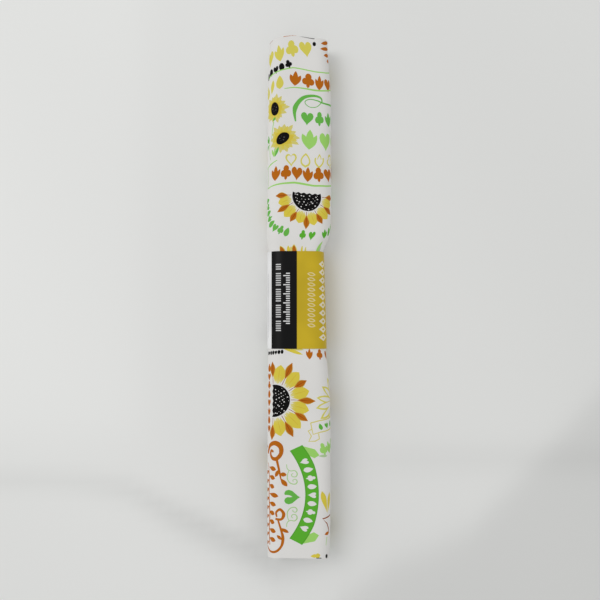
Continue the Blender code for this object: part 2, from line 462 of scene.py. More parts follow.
def cloth_print():
    """The printed pattern of the turn that lies outside: sunflowers, leaves, garlands, ribbons and tendrils."""
    p = []
    # The crest, from the folded end down.
    p += stroke([(-6.4, 114.1), (-0.8, 114.2)], 0.4, RUST, each=1)
    p += stroke([(0.4, 114.2), (7.2, 113.9)], 0.4, mixed(INK_BLACK, COTTON, 0.25), each=1)
    p += stroke([(-16.3, 114), (-12.3, 114.1)], 0.45, DEEP_RUST, each=1)
    p += oval((7, 111.6), (0.9, 0.95), INK_BLACK, count=12)
    p += garland(
        [(-16.6, 106.2), (-8.7, 107), (-3, 108.3), (5.9, 109.7)], "heart sprig clover heart", 7.6, LEMON
    )
    p += garland([
        (-16.6, 98.2), (-13.5, 99.5), (-8.5, 100.4), (-2.4, 102.2)
    ], "berry berry heart berry clover", 3.9, INK_BLACK)
    for base, tip in (((17, 113.4), (10.4, 112)), ((17.2, 110.6), (9.9, 109.6)), ((17, 107.6), (11.7, 107)), (
        (17.4, 105.4), (13.6, 104.6)
    )):
        p += petal(base, tip, 1.7, RUST)
    p += stroke([(18, 104), (18.2, 101.6)], 0.4, INK_BLACK, each=1)
    p += stroke([
        (-15, 97.8), (-10.9, 98.7), (-6.3, 99.5), (-1.3, 100), (4.6, 99.6), (9, 99.2), (14, 99.6), (19, 100.8)
    ], 0.5, LIGHT_GREEN)
    p += garland([(-17, 90.8), (-10, 93.4), (-5.4, 94.8)], "bud tick bud", 6, LEMON, lean=-14)
    p += garland([(-3.6, 95.6), (4, 95), (11, 94.2), (20, 94)], "sprig clover sprig heart clover", 6.6, RUST)
    p += stroke([(-5.2, 91.2), (0.5, 91.5), (5.8, 91.2), (10.3, 91.2), (19, 93)], (0.3, 0.8, 0.5), LIGHT_GREEN)
    p += small_sunflower((-9.9, 83.1), 6.2, 2.6, 12)
    p += stroke([(-10.4, 77.6), (-11.2, 74), (-12, 69)], (0.5, 0.25), LIGHT_GREEN)
    p += petal((-10.9, 77.9), (-9.4, 79.3), 1.2, MID_GREEN)
    p += small_sunflower((-6.2, 69.5), 6.4, 2.7, -52)
    p += petal((-13.6, 69), (-17, 71.6), 1.6, GREEN) + petal((-13.6, 68.4), (-16.6, 66.4), 1.4, MID_GREEN)
    p += petal(
        (-13.4, 69.4), (-14.8, 72.6), 1.2, MID_GREEN
    ) + petal((-10.6, 61.8), (-11.6, 65.6), 1, LIGHT_GREEN)
    p += petal((-10.2, 61.8), (-8, 66), 1.3, MID_GREEN) + petal((-10.4, 61.9), (-9.8, 66.2), 0.9, LIGHT_GREEN)
    p += stroke([(-13.5, 70), (-13.2, 64), (-12.6, 61)], 0.3, LIGHT_GREEN)
    p += stroke([(-16.5, 57.8), (-12.8, 59), (-9, 60.2)], (0.3, 0.6, 0.3), LIGHT_GREEN)
    flourish = [(-1.2, 76.6), (-1.6, 80.8), (-0.8, 84.1), (1.7, 87.5), (5.4, 88.7), (8.5, 87.8), (9.1, 86.1)]
    p += stroke(flourish, (0.4, 1.7, 1.4, 0.9, 0.6), MID_GREEN)
    loop = [
        (9.1, 86.1), (6.9, 84.2), (4.1, 83.5), (2.3, 84.7), (2.3, 86.1), (4.1, 87), (6.9, 86.6), (10.1, 85.6),
        (18.5, 85.4)
    ]
    p += stroke(loop, (0.4, 0.3, 0.3, 0.5, 0.9), MID_GREEN)
    p += garland([(0.4, 78.8), (7, 78.6), (13, 78.8), (20, 79.9)], "heart clover sprig bud", 6.4, MID_GREEN)
    p += garland([(0.2, 69.3), (8, 69.2), (14, 69.6), (21.6, 71)], "sprig heart clover", 9, LIGHT_GREEN)
    p += garland(
        [(-6, 59.9), (4, 59.8), (11, 60), (17, 60.9)], "heart bud sprig clover", 6.6, STRAW, hollow=True
    )
    p += garland([
        (-12.2, 54.6), (-2, 54), (8, 53.8), (19.6, 55.6)
    ], "sprig clover heart sprig clover heart clover", 6.6, RUST)
    p += stroke([(-15, 57.8), (-14.4, 53), (-15, 49)], 0.4, MIST_GREEN)
    p += stroke([
        (-15.5, 49), (-10.5, 49.4), (-6.4, 49.5), (0.6, 49.4), (7.5, 49), (13, 49.5), (19.5, 50.8)
    ], (0.4, 0.9, 0.5), LIGHT_GREEN)
    p += half_sunflower((3.4, 43.8), -90, 6.1, 13.9, 0.3)
    arc = [(-15.6, 45), (-14.8, 40.5), (-13.8, 37.2), (-12.5, 34.2), (-10.4, 31.2), (-6.8, 29.1), (-3.2, 27.7)]
    p += garland(arc, "bud heart bud sprig bud heart clover bud", 4, MID_GREEN)
    p += garland([(0.6, 27.2), (8.6, 27.5)], "clover heart", 4.2, GREEN)
    p += garland([(10.6, 28), (15, 29.6), (18.5, 33)], "sprig bud heart", 4.2, GREEN)
    p += petal((-4.6, 17), (-7.6, 22.6), 2.6, STRAW) + petal((-4.8, 17), (-7.5, 22.3), 2, RUST)
    p += petal((-0.4, 17), (-0.7, 23), 3, STRAW) + petal((-0.4, 17), (-0.7, 22.6), 2.2, RUST)
    p += petal((-3.2, 18.5), (-3.6, 22.4), 1.6, YELLOW) + petal((3, 18.5), (3.4, 22.8), 1, YELLOW)
    p += petal((-1.9, 18.5), (-2.2, 22), 1.2, PALE_YELLOW) + petal((4.8, 18.5), (5.2, 22.6), 0.9, PALE_YELLOW)
    p += petal((10, 18.5), (12.6, 25.4), 1.4, LIGHT_GREEN) + petal((11.2, 18.5), (12.8, 23.4), 0.9, MIST_GREEN)
    # Under the band, where it shows only once the band has slid away.
    p += small_sunflower((-8.6, 9), 6.2, 2.6, 20)
    p += garland([(-1.5, 11.5), (7, 12.3), (17, 11.8)], "sprig heart clover", 5.8, GREEN)
    p += stroke([(-2, 6.4), (6, 7.4), (18, 6.6)], (0.3, 0.7, 0.4), LIGHT_GREEN)
    p += garland(
        [(-15.5, -1), (-4, -0.2), (6, 0.2), (18, -0.6)], "heart sprig clover heart bud sprig", 6.2, RUST
    )
    p += stroke([(-16, -6.4), (-5, -5), (6, -5.4), (18, -6.8)], (0.5, 0.8, 0.5), LIGHT_GREEN)
    p += garland([(-15, -13), (-6, -12), (3.5, -12.6)], "heart bud clover", 6.4, STRAW, hollow=True)
    p += small_sunflower((10.5, -14.2), 6, 2.5, 70)
    p += garland([(21, 4), (39, 5)], "clover heart bud", 5.8, YELLOW) + garland(
        [(22, -14), (38, -13)], "sprig bud clover", 5.6, RUST
    )
    p += garland([(-39, 8), (-20, 9)], "bud clover heart", 6, GREEN) + small_sunflower((-29, -8), 6.2, 2.5, 40)
    # Below the band.
    p += garland([(-16.5, -23.9), (-5.8, -23.9)], "berry heart berry berry heart berry berry", 2.1, INK_BLACK)
    p += petal((-5.8, -22.7), (2.8, -25), 1.5, YELLOW) + petal((-4, -22.4), (3.2, -22.9), 1.4, PALE_YELLOW)
    p += garland([(3.2, -24.5), (11, -24.5), (18.4, -24.2)], "sprig clover heart", 4.8, RUST)
    p += half_sunflower((-10.7, -45), 0, 7.1, 18.2, 0.12)
    p += garland(
        [(-13.9, -28.5), (-13.9, -59)], "bud heart clover bud heart sprig bud heart", 3.8, RUST, lean=90
    )
    for tip in ((14.2, -34.4), (10.6, -38.4), (8, -43.6), (7.6, -48.2), (9.4, -52.8), (14, -53.4)):
        p += petal((20.5, -44.5), tip, 3.4, STRAW, 0.6) + petal(
            (19, -44.5), (tip[0] + 1.2, tip[1] * 0.9 - 4.45), 2, COTTON, 0.6
        )
    ribbon = [(5.2, -54.6), (9.5, -53.4), (14.5, -52), (20, -50.6), (20, -55.4), (
        14.9, -56.9
    ), (10.5, -58.2), (6, -59.6)]
    p.append((ribbon, COTTON))
    p += stroke([*ribbon, ribbon[0]], 0.5, PALE_YELLOW, each=1)
    p += stroke([
        (5.6, -57.4), (4, -58.2), (5.2, -60.4), (4, -62.8), (6.7, -62.6), (8.6, -61.6), (8.4, -59.2)
    ], 0.5, PALE_YELLOW, each=1)
    p += garland(
        [(8, -56.6), (13.4, -55), (19.5, -53.2)], "bud heart bud clover", 2.9, mixed(MID_GREEN, GREEN, 0.6)
    )
    p += garland([(8.6, -66.6), (12.6, -65.4), (18.5, -63)], "clover sprig clover", 5.8, LIGHT_GREEN)
    p += petal((7.6, -69.4), (12.4, -68.8), 1.2, MIST_GREEN)
    # A rust vine along the left side, with a heavy loop at its head and a curled tail.
    loop_head = [(-10.4, -67.6), (-11.7, -66.9), (-12.2, -68.6), (-10.9, -70.4), (-8.6, -70.6), (-6.6, -68.6)]
    loop_head += [(-7, -65.4), (-9.8, -63.6), (-12.9, -64.9), (-14.6, -68.4)]
    p += stroke(loop_head, (0.9, 1.3, 2, 2.2, 1.4), RUST)
    p += stroke([(-8.6, -71), (-7.4, -75.6), (-6.4, -80)], (1.3, 1.1, 0.6), RUST)
    for base, tip in (((-6.6, -79.4), (-4, -83)), ((-7, -77.4), (-4.2, -78)), ((-7.4, -75.4), (-9.4, -78.6))):
        p += petal(base, tip, 1.9, RUST)
    p += stroke([
        (-14.2, -72.4), (-13.2, -79), (-13.6, -87), (-12.9, -95), (-13.4, -102), (-12.8, -108.6)
    ], (0.4, 0.8, 0.6), RUST)
    for i in range(9):
        along = -74.2 - 3.9 * i
        reach = 5.6 if i == 3 else 3.9 + 0.5 * math.cos(1.7 * i)
        p += petal((-13.3, along), (-13.3 + reach, along - 1.3), 2.1, RUST, 0.6, sharp=0.9)
        p += petal((-13.4, along - 1.9), (-16.9, along - 3), 1.9, RUST, 0.6, sharp=0.9)
    tail = [(-8.5, -96.2), (-8.9, -94.2), (-6.9, -93), (-5.3, -94.9), (-6.2, -97.3), (-9.3, -97)]
    p += stroke(tail, (0.8, 1.2, 1.3, 0.9), RUST)
    p += petal((-6.6, -101.2), (-3.4, -103.2), 1.5, RUST) + petal((-5.8, -106.4), (-8.6, -104.2), 1.4, RUST)
    swoosh = [(-8, -97.4), (-6.3, -102.3), (-5.6, -105.7), (-6.3, -109.2), (-9.1, -111.4), (
        -12.5, -111.4
    ), (-15.6, -109.4)]
    p += stroke(swoosh, (0.8, 1.3, 1.1, 0.7), RUST)
    p += ribbon_banner((-33.4, -86.5), 38.45, 32.3, 5.4, GREEN, LIGHT_GREEN)
    p += forked_tendril((-4.2, -73.3), -1, mixed(MIST_GREEN, LIGHT_GREEN, 0.4))
    p += heart((-2.7, -87.6), 6.4, MID_GREEN, 90) + petal((-5.4, -86.8), (-2.2, -87.5), 0.9, COTTON)
    p += forked_tendril((-4.2, -100.7), 1, mixed(MIST_GREEN, LIGHT_GREEN, 0.4))
    p += petal((12.4, -94), (9.2, -84.6), 3, YELLOW, 0.66) + petal(
        (12.6, -94), (14.4, -84.8), 2.6, YELLOW, 0.66
    )
    p += stroke(
        [(15.6, -94.8), (9.8, -96.8), (12.4, -98.6), (13.8, -101.2), (13.2, -103.2)], 0.6, DEEP_RUST, each=1
    )
    p += petal((11, -103.6), (14.2, -102.4), 1.5, RUST)
    p += stroke([(12.5, -104.5), (12, -108.4)], (0.4, 0.2), LIGHT_GREEN)
    p += petal((4.6, -113.4), (7.6, -113), 1.6, YELLOW) + petal((6.2, -113.4), (9.2, -112.9), 2.2, YELLOW)
    p += stroke([(7.2, -114.15), (9.8, -114.1)], 0.35, INK_BLACK)
    p += oval((12.9, -113), (0.85, 0.95), INK_BLACK, count=12)
    # The two sides and the underside.
    for across, along in ((27, 101), (33.5, 84), (24.5, 60), (30, 36), (28, -31), (33, -74), (25.5, -103)):
        p += small_sunflower((across, along), 6.2, 2.5, 30)
        p += stroke([
            (across, along - 6), (across + 1.5, along - 10), (across + 1, along - 14)
        ], (0.5, 0.25), LIGHT_GREEN)
        p += petal((across + 1.4, along - 9.6), (across - 2.6, along - 11.4), 1.4, MID_GREEN)
    p += garland([(24, 73), (36, 72)], "clover bud clover", 6, RUST)
    p += garland([(23, 47.5), (38, 46.5)], "sprig clover sprig tick", 5.6, LIGHT_GREEN)
    p += half_sunflower((31, -52), 90, 6.4, 14.4, 0.2)
    p += garland([(21, -88), (29, -90), (38, -89)], "sprig heart clover sprig", 5.4, YELLOW)
    p += half_sunflower((-30, 88), 180, 6.8, 15.6, 0.2)
    p += garland([(-39, 66), (-30, 67.6), (-21, 66)], "clover heart clover bud", 6.2, YELLOW)
    p += garland([(-40, 56), (-30, 57), (-21, 56)], "tick clover sprig tick clover", 5, GREEN)
    p += small_sunflower((-27, 40), 6.4, 2.6, 60) + small_sunflower((-36, 30), 6.2, 2.5, 15)
    p += garland([(-38, 22), (-24, 23)], "heart clover bud clover", 5.4, RUST)
    p += ribbon_banner((-48, -36), 21, 42, 5.6, GREEN, LIGHT_GREEN)
    p += half_sunflower((-29.5, -66), -90, 6.5, 15, 0.2)
    p += garland([(-38, -88), (-30, -86.5), (-22, -88)], "sprig clover sprig", 6.4, LIGHT_GREEN)
    p += garland([(-38, -98), (-22, -97)], "clover heart clover bud", 5.8, RUST)
    p += forked_tendril((-30, -111), 1, MIST_GREEN) + forked_tendril((-36, -102.5), -1, MIST_GREEN)
    return p


def band_print():
    """The label's flat colours and rows of plain marks. A place's first number is to the left of the crest."""
    low, high = BAND_LOW, BAND_HIGH

    def block(first, second, ink, near=low, far=high):
        """A rectangle between two distances to the left of the crest."""
        return ([
            (CREST_B + first, near), (CREST_B + second, near), (CREST_B + second, far), (CREST_B + first, far)
        ], ink)

    def bar(across, along, wide, tall, ink):
        return block(across - wide / 2, across + wide / 2, ink, along - tall / 2, along + tall / 2)

    p = [block(-26, 0.9, PANEL_GOLD), block(0.9, 12.6, PANEL_BLACK)]
    # A tape rule's ticks and a row of short dashes on the black.
    for i in range(23):
        tall = 2.9 if i % 4 == 1 else 1.7
        p.append(bar(4 + tall / 2, 10.4 - 1 * i, tall, 0.45, PAPER_WHITE))
    for i in range(30):
        if i % 7 != 3:
            p.append(bar(9.1, 14.3 - 1 * i, 2.3, 0.5, mixed(PANEL_BLACK, PAPER_WHITE, 0.75)))
    # A row of diamonds and a row of leaves on the gold.
    for i in range(10):
        along = 14.6 - 3.6 * i
        for size, ink in ((1, mixed(PALE_GOLD, PAPER_WHITE, 0.5)), (0.38, PANEL_GOLD)):
            ends = [(
                -11.2 - 2.3 * size, along
            ), (-11.2, along - 1.6 * size), (-11.2 + 2.3 * size, along), (-11.2, along + 1.6 * size)]
            p.append(([(CREST_B + a, y) for a, y in ends], ink))
    for i in range(11):
        along = 10 - 2.25 * i
        for inset, width, ink in ((0, 1.7, PALE_GOLD), (0.7, 0.8, PANEL_GOLD)):
            p += petal(
                (CREST_B - 3.6 - inset, along + 0.3), (CREST_B - 7.3 + inset, along - 0.3), width, ink, 0.5
            )
    # The plain back: thin rules and a block of stripes of mixed widths.
    p.append(bar(15.2, -3.8, 0.22, 28.4, RULE_GREY))
    for i in range(9):
        long = 24 - 7 * (i % 3 == 2)
        p.append(bar(19 + 1.5 * i, 14.5 - long / 2, 0.45, long, RULE_GREY))
    stripe = random.Random(5)
    at = -19.5
    while at < -11:
        thick = stripe.choice((0.3, 0.5, 0.8))
        p.append(bar(25, at + thick / 2, 12, thick, INK_BLACK))
        at += thick + stripe.choice((0.35, 0.5, 0.8))
    for i in range(5):
        p.append(bar(-36 + 2.4 * i, -1.3, 0.5, 34 - 5 * i, RULE_GREY))
    return p


# ----------------------------------------------------------------------------------------------------
# Sheets: a flat triangulated pattern, placed in space as a closed shell of its own thickness.


def topmost(places, outlines):
    """Which outline lies over each place. The last one wins, and -1 is none."""
    order = np.argsort(places[:, 1])
    across, along = places[order].T
    found = np.full(len(places), -1)
    for index, outline in enumerate(outlines):
        low, high = np.searchsorted(along, (outline[:, 1].min(), outline[:, 1].max()))
        u, v = across[low:high], along[low:high]
        inside = np.zeros(high - low, bool)
        for (au, av), (bu, bv) in zip(outline, np.roll(outline, -1, axis=0)):
            if av != bv:
                inside ^= ((av > v) != (bv > v)) & (u < au + (bu - au) * (v - av) / (bv - av))
        found[order[low:high][inside]] = index
    return found


# The longest edges of a printed shape, across and along. Longer ones would cut the corner of a bend.
LONGEST_ACROSS, LONGEST_ALONG = 1.3, 4


def with_short_edges(outline):
    """An outline with points added along its long edges, so that they bend with the sheet."""
    points = []
    for a, b in zip(outline, [*outline[1:], outline[0]]):
        across, along = b[0] - a[0], b[1] - a[1]
        steps = max(1, math.ceil(abs(across) / LONGEST_ACROSS), math.ceil(abs(along) / LONGEST_ALONG))
        points += [(a[0] + across * i / steps, a[1] + along * i / steps) for i in range(steps)]
    return points


def printed_shell(name, grid, shapes, place, plain, shine_through, atlas):
    """A closed sheet object, whose printed side and back share one flat triangulation, cut along each shape."""
    (low_u, low_v), (high_u, high_v) = np.min(grid, axis=0), np.max(grid, axis=0)
    points = [Vector(point) for point in grid]
    cuts = []
    outlines = []
    for outline, _ in shapes:
        outline = with_short_edges(outline)
        first, count = len(points), len(outline)
        cuts += [(first + i, first + (i + 1) % count) for i in range(count)]
        clipped = [(min(max(u, low_u), high_u), min(max(v, low_v), high_v)) for u, v in outline]
        points += [Vector(point) for point in clipped]
        outlines.append(np.array(clipped))
    made = delaunay_2d_cdt(points, cuts, [], 0, 1e-4, False)
    flat = np.array([tuple(v) for v in made[0]])
    triangles = np.array([face for face in made[2] if len(face) == 3])
    covers = topmost(flat[triangles].mean(axis=1), outlines)
    count = len(flat)

    edges = {}
    for triangle in triangles.tolist():
        for a, b in zip(triangle, triangle[1:] + triangle[:1]):
            edges[(a, b)] = True
    rim = [(a, b) for a, b in edges if (b, a) not in edges]

    front, back = place(flat[:, 0], flat[:, 1])
    faces = triangles.tolist()
    faces += (triangles[:, ::-1] + count).tolist()
    faces += [(b, a, a + count, b + count) for a, b in rim]
    mesh = bpy.data.meshes.new(name)
    mesh.from_pydata((np.vstack([front, back]) * MM).tolist(), [], faces)

    colours = []
    for triangle, cover in zip(triangles, covers):
        ink = shapes[cover][1] if cover >= 0 else plain
        for corner in triangle:
            colours.append(ink(*flat[corner]) if callable(ink) else ink)
    fronts = np.array(colours).reshape(-1, 3, 4)
    backs = fronts[:, ::-1] * shine_through + np.array(plain) * (1 - shine_through)
    rims = np.tile(np.array(plain), (len(rim) * 4, 1))
    ink = mesh.attributes.new("ink", "FLOAT_COLOR", "CORNER")
    ink.data.foreach_set("color", np.vstack([fronts.reshape(-1, 4), backs.reshape(-1, 4), rims]).ravel())
    turned_triangles = triangles[:, ::-1]
    rim_corners = np.array([[b, a, a, b] for a, b in rim])
    corners = np.concatenate([triangles.ravel(), turned_triangles.ravel(), rim_corners.ravel()])
    is_back = np.zeros(len(corners), bool)
    is_back[triangles.size : 2 * triangles.size] = True
    weave = mesh.uv_layers.new(name="flat")
    weave.data.foreach_set("uv", (flat[corners] * MM).ravel())
    baked = mesh.uv_layers.new(name="OFBake")
    baked.data.foreach_set("uv", atlas(flat[corners], is_back).ravel())
    mesh.shade_smooth()
    mesh.set_sharp_from_angle(angle=math.radians(50))
    sheet = bpy.data.objects.new(name, mesh)
    bpy.context.collection.objects.link(sheet)
    return sheet


# How far each end of the outer turn reaches: (across, along).
FOLD_REACH = (
    (-30, 114.0), (-14, 113.9), (-6, 114.9), (-2, 115.4), (6, 114.1), (12, 114.2), (18.7, 115.3), (32, 114.2)
)
CUT_REACH = ((-30, -115), (-18, -116), (-12, -115.4), (-6, -114.9), (9, -115.2), (18.7, -117.3), (32, -115.5))


def profile(at, column):
    """One of the roll's outer limits at given places along it, with soft corners."""
    stations = np.array(ROLL_STATIONS)
    soft = [np.interp(at + shift, stations[:, 0], stations[:, column]) for shift in (-2, -1, 0, 1, 2)]
    return np.mean(soft, axis=0)


# The sides are fuller than half circles: each is half of a superellipse. The exponents are (right, left).
FULLNESS = (2.8, 2.3)


def side_table(exponent):
    """Half a unit superellipse, bottom up: (share of its length, x, z, out x, out z), and its length."""
    turn = np.linspace(-math.pi / 2, math.pi / 2, 1441)
    cos, sin = np.abs(np.cos(turn)), np.abs(np.sin(turn))
    x, z = cos ** (2 / exponent), np.sign(turn) * sin ** (2 / exponent)
    out_x, out_z = cos ** (2 - 2 / exponent), np.sign(turn) * sin ** (2 - 2 / exponent)
    size = np.hypot(out_x, out_z)
    run = np.concatenate([[0], np.cumsum(np.hypot(np.diff(x), np.diff(z)))])
    return (run / run[-1], x, z, out_x / size, out_z / size), run[-1]


SIDES = [side_table(exponent) for exponent in FULLNESS]


def around_side(share, leftward):
    """A point on a side of unit radius, and the way out there. Right sides run up and left sides run down."""
    found = []
    for side, run, mirror in ((0, share, 1), (1, 1 - share, -1)):
        table = SIDES[side][0]
        values = [np.interp(run, table[0], column) for column in table[1:]]
        found.append([values[0] * mirror, values[1], values[2] * mirror, values[3]])
    return [np.where(leftward, left, right) for right, left in zip(*found)]


def stretch_lengths():
    """The lengths of the straights and bends of the winding, in turn, where nothing squeezes it."""
    radius = (ROLL_HEIGHT - LAYER) / 2
    pitch = 2 * (radius - LAST_RADIUS) / (BENDS - 1)
    half = (ROLL_WIDTH - ROLL_HEIGHT) / 2
    lengths = []
    for bend in range(BENDS):
        lengths.append(half + FREE_EDGE_INSET if bend == 0 else 2 * half + pitch / 2)
        lengths.append(SIDES[bend % 2][1] * (radius - bend * pitch / 2))
    lengths.append(2 * half + pitch / 2 - TAIL_SHORT)
    return np.array(lengths) * WOUND_SIDE / sum(lengths)


STRETCHES = stretch_lengths()
STRETCH_STARTS = np.concatenate([[0], np.cumsum(STRETCHES)])
CREST = STRETCH_STARTS[2] + STRETCHES[2] / 2  # how far along the winding the crest of the outer turn is


def wound(s, y):
    """The middle of the folded layer at s along the winding and y along the roll, and the way out there."""
    left, right, bottom, top = (profile(y, column) for column in (1, 2, 3, 4))
    radius = (top - bottom - LAYER) / 2
    pitch = 2 * (radius - LAST_RADIUS) / (BENDS - 1)
    right_x = right - (top - bottom) / 2
    left_x = left + (top - bottom) / 2 - pitch / 2
    stretch = np.clip(np.searchsorted(STRETCH_STARTS, s, side="right") - 1, 0, len(STRETCHES) - 1)
    share = np.clip((s - STRETCH_STARTS[stretch]) / STRETCHES[stretch], 0, 1)
    bend = stretch // 2
    leftward = bend % 2 == 1
    on_bend = stretch % 2 == 1
    side_x, side_z, across, up = around_side(np.where(on_bend, share, 0), leftward)
    bend_radius = radius - bend * pitch / 2
    centre_x = np.where(leftward, left_x, right_x)
    from_x = np.where(leftward, right_x, left_x)
    from_x = np.where(stretch == 0, (left + right) / 2 - FREE_EDGE_INSET, from_x)
    x = centre_x + bend_radius * side_x + np.where(on_bend, 0, (1 - share) * (from_x - centre_x))
    z = (top + bottom) / 2 + np.where(leftward, pitch / 2, 0) + bend_radius * side_z
    return x, z, across, up


def ruffle(s, y):
    """How far soft puckers lift the cloth beside the band, and slack lifts it elsewhere."""
    outer = np.exp(-s / 150)
    above = np.exp(-np.clip(y - BAND_HIGH, 0, None) / 9) * (y > BAND_HIGH)
    below = np.exp(-np.clip(BAND_LOW - y, 0, None) / 11) * (y < BAND_LOW)
    grown = np.clip(np.maximum(y - BAND_HIGH, BAND_LOW - y) / 3, 0, 1)
    puckers = np.sin(s * 0.62 + 0.9) * above + np.sin(s * 0.55 + 2.2 * np.sin(s * 0.11)) * below
    slack = 0.10 * np.sin(y * 0.083 + s * 0.05) * np.sin(s * 0.21 + 0.4) * (1 - above - below)
    return outer * grown * (0.26 * puckers + slack)


def place_cloth(across, along):
    """Both faces of the cotton. Past the folded end, along goes on over the fold and back on the inner ply."""
    s = CREST - across
    t = along + ROLL_LENGTH / 2
    bow = math.pi * FOLD_RADIUS
    fold = np.clip((t - ROLL_LENGTH + bow / 2) / bow, 0, 1) * math.pi
    outer_run = ROLL_LENGTH - bow / 2
    run = np.where(t <= ROLL_LENGTH, t, FOLDED_SIDE - t)
    run = np.clip(run / outer_run, 0, 1)
    drift = 0.35 * np.sin(s * 0.045) + 0.25 * np.sin(s * 0.171 + 1.0)
    inner = np.clip((s - 60) / 26, 0, 1)
    ends = []
    for table, flat_end in ((FOLD_REACH, 114.0), (CUT_REACH, -114.9)):
        reach = np.interp(across, [a for a, _ in table], [y for _, y in table])
        ends.append(reach + (flat_end + drift - reach) * inner)
    y_fold, y_cut = ends[0] - FOLD_RADIUS - PLY / 2, ends[1]
    x, z, out_x, out_z = wound(s, -ROLL_LENGTH / 2 + run * ROLL_LENGTH)
    y = y_cut + run * (y_fold - y_cut)
    bulb = np.exp(-(((1 - run) * ROLL_LENGTH / 1.6) ** 2))
    offset = PLY_OFFSET + (FOLD_RADIUS - PLY_OFFSET) * bulb
    lift = ruffle(s, y)
    outward = offset * np.cos(fold) + lift
    y = y + FOLD_RADIUS * np.sin(fold)
    middle = np.stack([x + out_x * outward, y, z + out_z * outward], axis=1)
    face = np.stack([out_x * np.cos(fold), np.sin(fold), out_z * np.cos(fold)], axis=1)
    return middle + face * PLY / 2, middle - face * PLY / 2


def cloth_grid():
    """The flat points that let the sheet bend: close on the outer turn, and wider apart inside."""
    fold_rows = [ROLL_LENGTH / 2 + FOLD_RADIUS * math.pi * (i / 6 - 0.5) for i in range(7)]
    neck = [-50, -42, -36, -31, -27, -24, -22.8, -12, 0, 12, 20.2, 21.5, 24, 27, 31, 36, 44]
    thinning = [55.5, 60.5, 67.2, 69.2, 71.4, 90]
    coarse = [
        -ROLL_LENGTH / 2, *[-y for y in reversed(thinning)], *neck, *thinning, 100, 108, 111, 112.6, 113.5
    ]
    inner_rows = [ROLL_LENGTH - y for y in coarse]
    rows = coarse + fold_rows + inner_rows
    columns = []
    for start, length, index in zip(STRETCH_STARTS, STRETCHES, range(len(STRETCHES))):
        steps = (12 if index < 20 else 7) if index % 2 else 2
        columns += [start + length * i / steps for i in range(steps)]
    columns.append(WOUND_SIDE)
    points = {(round(CREST - s, 4), round(row, 4)) for s in columns for row in rows}
    fine_columns = np.linspace(0, FINE_TURN, 67)
    fine_rows = np.linspace(-ROLL_LENGTH / 2, ROLL_LENGTH / 2 - 0.8, 113)
    points |= {(round(CREST - s, 4), round(row, 4)) for s in fine_columns for row in fine_rows}
    points |= {(round(CREST - s, 4), round(row, 4)) for s in fine_columns for row in fold_rows}
    return sorted(points)


def cloth_atlas(flat, is_back):
    """The bake's layout of the cotton: more room for the printed outer turn than for what is inside."""
    s = CREST - flat[:, 0]
    t = flat[:, 1] + ROLL_LENGTH / 2
    u = np.interp(s, [0, FINE_TURN, WOUND_SIDE], [0.01, 0.6, 0.99])
    front = np.interp(t, [0, ROLL_LENGTH, FOLDED_SIDE], [0.01, 0.66, 0.8])
    back = np.interp(t, [0, ROLL_LENGTH, FOLDED_SIDE], [0.82, 0.94, 0.99])
    return np.stack([u, np.where(is_back, back, front)], axis=1)


def band_ends(width):
    """The radii and centres of the band's two sides, and where along the strip each straight or side ends."""
    radius = (BAND_TOP - BAND_BOTTOM - PAPER) / 2
    wide = radius + FLAP_STEP / 2
    right_x = BAND_LEFT + width - radius - PAPER / 2
    left_x = BAND_LEFT + wide + PAPER / 2
    runs = [right_x - FLAP[0], SIDES[0][1] * radius, right_x - left_x, SIDES[1][1] * wide, FLAP[1] - left_x]
    return radius, wide, right_x, left_x, [sum(runs[: i + 1]) for i in range(5)]


STRIP = band_ends(BAND_WIDTH)[4][4]
# How far along the strip x = 0 is, on the crest.
CREST_B = band_ends(BAND_WIDTH)[4][1] + band_ends(BAND_WIDTH)[2]


def band_line(b, y):
    """The middle of the paper at b along the strip and y along the roll, and the way out from there."""
    width = BAND_WIDTH + BAND_FLARE * ((BAND_LOW + BAND_HIGH) / 2 - y) / (BAND_HIGH - BAND_LOW)
    radius, wide, right_x, left_x, ends = band_ends(width)
    right_share = np.clip((b - ends[0]) / (ends[1] - ends[0]), 0, 1)
    left_share = np.clip((b - ends[2]) / (ends[3] - ends[2]), 0, 1)
    leftward = b >= ends[2]
    side_x, side_z, across, up = around_side(np.where(leftward, left_share, right_share), leftward)
    x = np.where(leftward, left_x + wide * side_x, right_x + radius * side_x)
    x = np.where(b < ends[0], FLAP[0] + b, x)
    x = np.where((b >= ends[1]) & (b < ends[2]), right_x - (b - ends[1]), x)
    x = np.where(b >= ends[3], left_x + (b - ends[3]), x)
    middle = (BAND_TOP + BAND_BOTTOM) / 2
    z = np.where(leftward, middle - FLAP_STEP / 2 + wide * side_z, middle + radius * side_z)
    return x, z, across, up


def place_band(b, y):
    """Both faces of the paper. The flare is taken up before the right side, so the print stays in line."""
    flare = BAND_FLARE * ((BAND_LOW + BAND_HIGH) / 2 - y) / (BAND_HIGH - BAND_LOW)
    x, z, out_x, out_z = band_line(b + 2 * flare * np.clip(b / 10, 0, 1), y)
    half = PAPER / 2
    faces = []
    for side in (half, -half):
        faces.append(np.stack([x + out_x * side, y, z + out_z * side], axis=1))
    return faces


def band_grid():
    """The flat points that let the paper bend."""
    points = {
        (round(b, 4), round(y, 4))
        for b in np.linspace(0, STRIP, 109)
        for y in np.linspace(BAND_LOW, BAND_HIGH, 25)
    }
    return sorted(points)


def band_atlas(flat, is_back):
    """The bake's layout of the paper: its printed side over its plain side."""
    u = 0.01 + 0.98 * flat[:, 0] / STRIP
    v = (flat[:, 1] - BAND_LOW) / (BAND_HIGH - BAND_LOW)
    return np.stack([u, np.where(is_back, 0.78 + 0.2 * v, 0.01 + 0.74 * v)], axis=1)


# ----------------------------------------------------------------------------------------------------
# Materials


